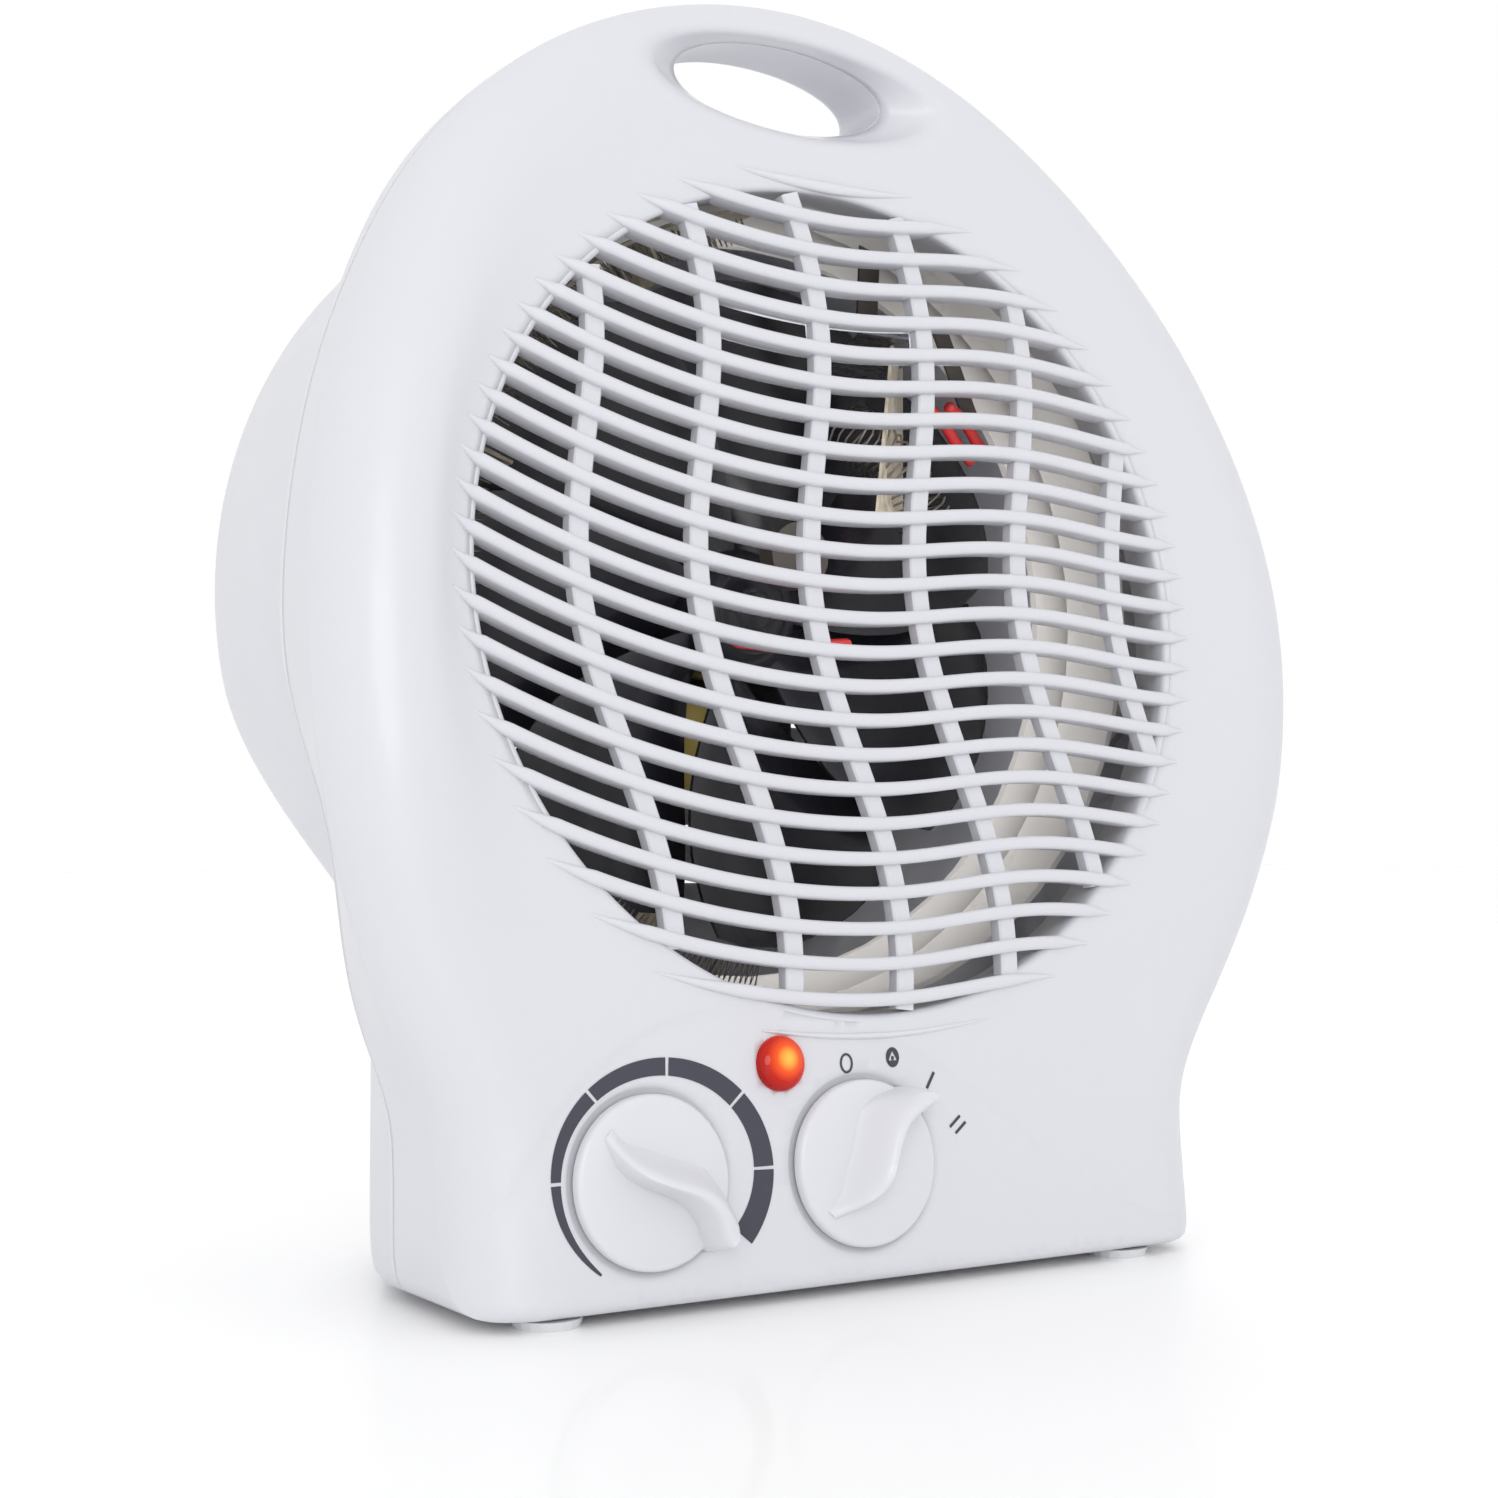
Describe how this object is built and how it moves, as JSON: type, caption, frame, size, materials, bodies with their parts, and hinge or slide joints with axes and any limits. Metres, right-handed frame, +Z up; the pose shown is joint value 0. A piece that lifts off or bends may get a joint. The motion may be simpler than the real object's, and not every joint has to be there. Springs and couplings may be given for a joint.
{
  "type": "fan convector heater",
  "caption": "Portable fan heater: rounded white shell with a carrying eye, dished round grille with wavy bars and ribs, turning dials, a red indicator, and a fan and heating coils inside.",
  "frame": {"origin": "middle of the footprint of the whole heater, on the surface that it stands on", "axes": "+Z up, +Y from the front to the back, +X to the right seen from the front"},
  "size_m": [0.234, 0.1236, 0.2576],
  "materials": {
    "white_plastic": "smooth, slightly bluish white, satin to glossy",
    "knob_plastic": "smooth white, satin",
    "pale_rubber": "matt",
    "zinc_steel": "bright zinc plated",
    "cream_plastic": "matt moulded",
    "red_lens": "clear red, polished",
    "lamp_glass": "clear",
    "frame_steel": "plated sheet, dull",
    "beige_plastic": "satin",
    "mica": "pressed mica sheet, flecked",
    "resistance_wire": "drawn alloy wire",
    "bakelite": "dark moulded",
    "red_sleeve": "woven glass-fibre sleeve, dark red",
    "black_plastic": "glossy black",
    "laminations": "stacked sheet",
    "winding_tape": "varnished tape",
    "bronze": "sintered"
  },
  "bodies": {
    "housing": {"front_cover": "white_plastic", "rear_cover": "white_plastic", "inlet_bush": "white_plastic", "foot_front_left": "pale_rubber", "foot_front_right": "pale_rubber", "foot_rear_left": "pale_rubber", "foot_rear_right": "pale_rubber", "case_screw_1": "zinc_steel", "case_screw_2": "zinc_steel", "case_screw_3": "zinc_steel", "case_screw_4": "zinc_steel", "thermostat_body": "cream_plastic", "thermostat_blade": "zinc_steel", "switch_body": "cream_plastic", "indicator_lens": "red_lens", "neon_lamp": "lamp_glass", "heater_frame": "frame_steel", "air_baffle": "beige_plastic", "mica_support_1": "mica", "mica_support_2": "mica", "mica_support_3": "mica", "mica_support_4": "mica", "heating_coil_outer": "resistance_wire", "heating_coil_inner": "resistance_wire", "thermal_cutout": "bakelite", "thermal_fuse": "red_sleeve", "motor_stator": "laminations", "motor_winding": "winding_tape", "motor_bracket_front": "zinc_steel", "motor_bracket_rear": "zinc_steel", "motor_bearing_front": "bronze", "motor_bearing_rear": "bronze", "motor_screw_left": "zinc_steel", "motor_screw_right": "zinc_steel", "terminal_block": "bakelite"},
    "thermostat_knob": {"thermostat_knob": "knob_plastic", "thermostat_spindle": "cream_plastic"},
    "function_knob": {"function_knob": "knob_plastic", "switch_spindle": "cream_plastic"},
    "fan": {"fan_impeller": "black_plastic", "motor_shaft": "zinc_steel", "motor_rotor": "laminations"}
  },
  "joints": [
    {"name": "thermostat_turn", "type": "hinge", "parent": "housing", "child": "thermostat_knob", "pos_m": [-0.05787, -0.05059, 0.02459], "axis": [0, 0.9938, -0.1113], "range_deg": [-262, 8]},
    {"name": "function_turn", "type": "hinge", "parent": "housing", "child": "function_knob", "pos_m": [-0.01057, -0.05059, 0.02459], "axis": [0, 0.9938, -0.1113], "range_deg": [-60, 30]},
    {"name": "fan_spin", "type": "hinge", "parent": "housing", "child": "fan", "pos_m": [-0.00437, 0.01183, 0.1355], "axis": [0, 1, 0], "continuous": true}
  ]
}
